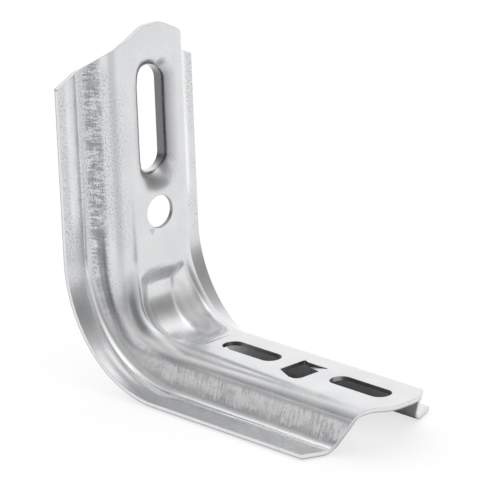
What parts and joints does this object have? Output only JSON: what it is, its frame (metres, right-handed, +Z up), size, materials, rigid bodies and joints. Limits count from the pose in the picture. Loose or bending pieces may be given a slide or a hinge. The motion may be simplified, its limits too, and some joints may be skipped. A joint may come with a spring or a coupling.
{
  "type": "cable tray bracket",
  "caption": "Pressed galvanised steel L bracket with a hat section, a slotted wall leg and a slotted arm that carries a cable tray.",
  "frame": {"origin": "in the wall plane, behind the centre of the round wall hole", "axes": "+X out of the wall along the arm, +Z up the wall leg, +Y across the bracket"},
  "size_m": [0.1222, 0.056, 0.1128],
  "materials": {
    "galvanised_steel": "galvanised sheet, satin, lightly scuffed along the folds"
  },
  "bodies": {
    "root": {"bracket": "galvanised_steel"}
  },
  "joints": []
}
